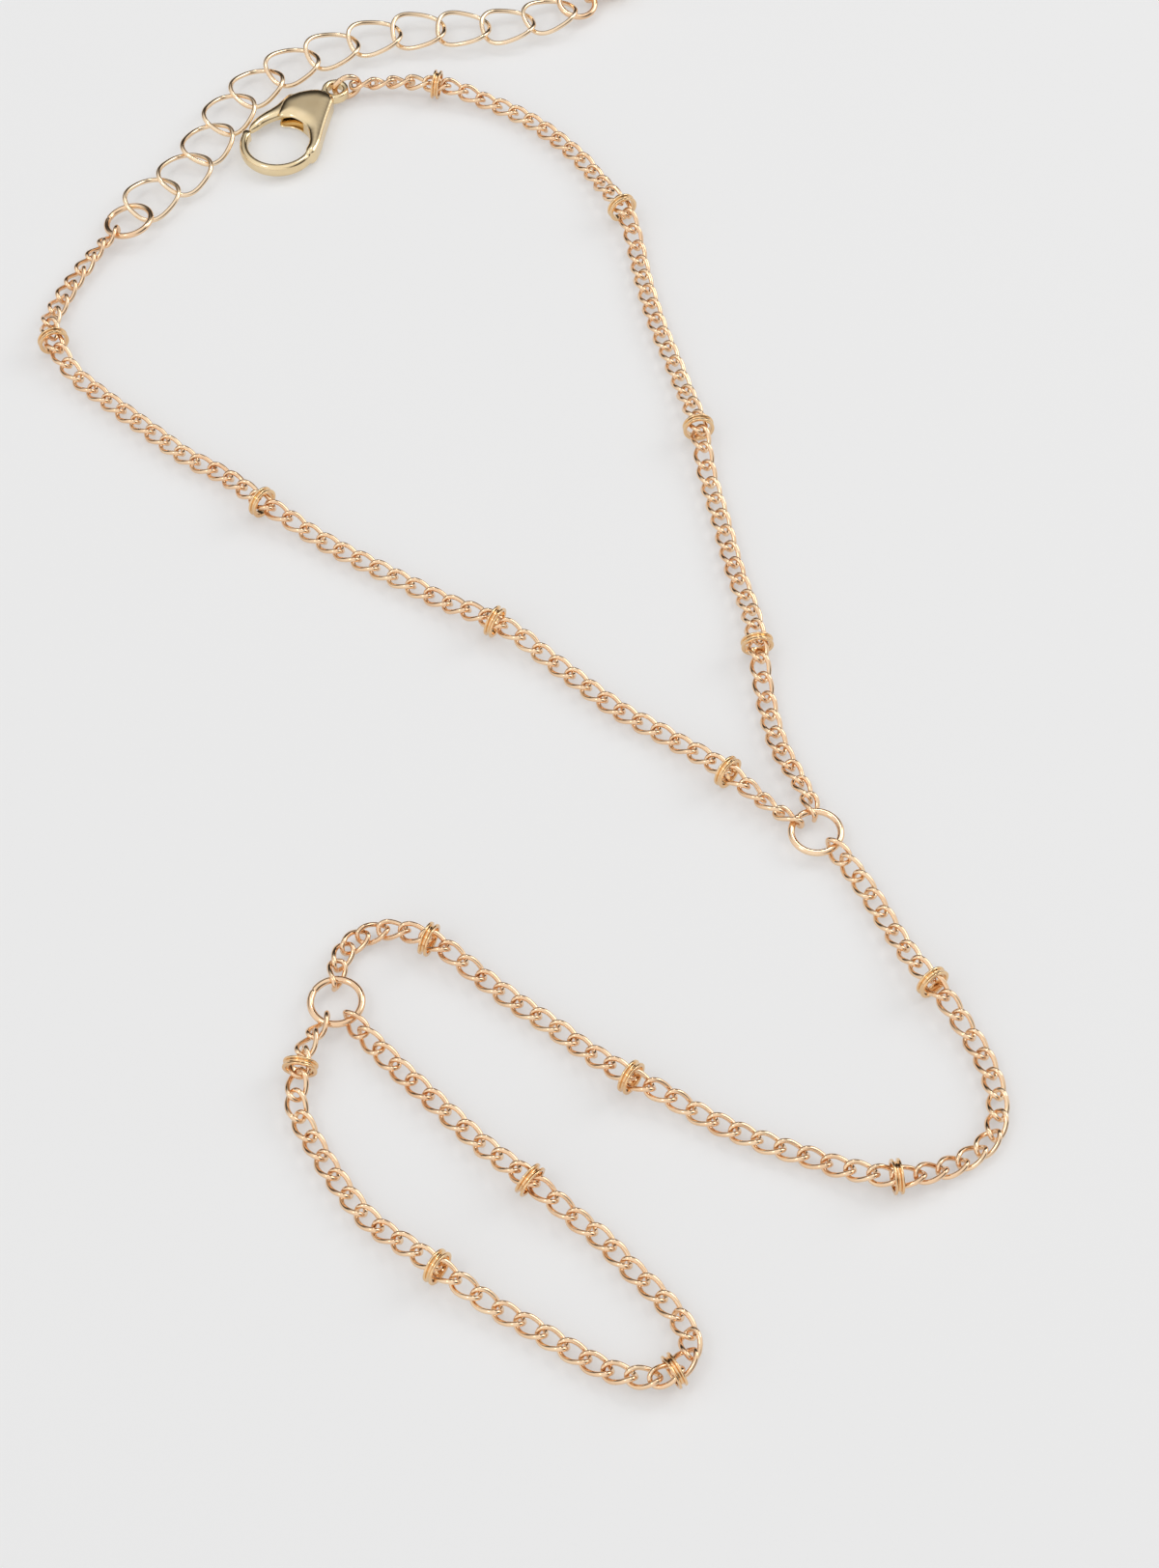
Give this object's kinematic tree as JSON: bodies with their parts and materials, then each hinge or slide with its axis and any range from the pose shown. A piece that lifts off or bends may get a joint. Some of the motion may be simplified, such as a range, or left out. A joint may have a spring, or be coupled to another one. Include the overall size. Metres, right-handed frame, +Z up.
{
  "type": "hand chain bracelet",
  "caption": "Hand chain bracelet in fine curb chain with grooved beads: a wrist chain with lobster clasp and extender, a chain over the hand, and a finger loop.",
  "frame": {"origin": "middle of the laid-out bracelet's footprint, on the surface it lies on", "axes": "+Z up from the surface, +Y from the finger loop towards the clasp and the extender, +X to the right as seen from above"},
  "size_m": [0.0606, 0.1111, 0.0026],
  "materials": {
    "fine_chain": "polished, pale rose gold plating",
    "extender": "polished, pale rose gold plating",
    "bead": "polished, pale rose gold plating",
    "ring": "polished, pale rose gold plating",
    "clasp": "polished, champagne gold plating"
  },
  "bodies": {
    "bracelet": {"wrist_chain_left": "fine_chain", "wrist_chain_right": "fine_chain", "hand_chain": "fine_chain", "finger_chain": "fine_chain", "extender_chain": "extender", "centre_ring": "ring", "finger_ring": "ring", "extender_ring": "extender", "clasp_ring": "ring", "clasp_body": "clasp", "extender_end_ring": "extender", "end_drop": "extender", "bead_left_1": "bead", "bead_left_2": "bead", "bead_left_3": "bead", "bead_left_4": "bead", "bead_right_1": "bead", "bead_right_2": "bead", "bead_right_3": "bead", "bead_right_4": "bead", "bead_hand_1": "bead", "bead_hand_2": "bead", "bead_hand_3": "bead", "bead_hand_4": "bead", "bead_finger_1": "bead", "bead_finger_2": "bead", "bead_finger_3": "bead", "bead_finger_4": "bead"},
    "lever": {"clasp_lever": "clasp"}
  },
  "joints": [
    {"name": "lever_pivot", "type": "hinge", "parent": "bracelet", "child": "lever", "pos_m": [-0.01346, 0.04121, 0.00075], "axis": [0, 0, 1], "range_deg": [0, 25], "stiffness_Nm_per_rad": 0.003, "springref_deg": -11.46}
  ]
}
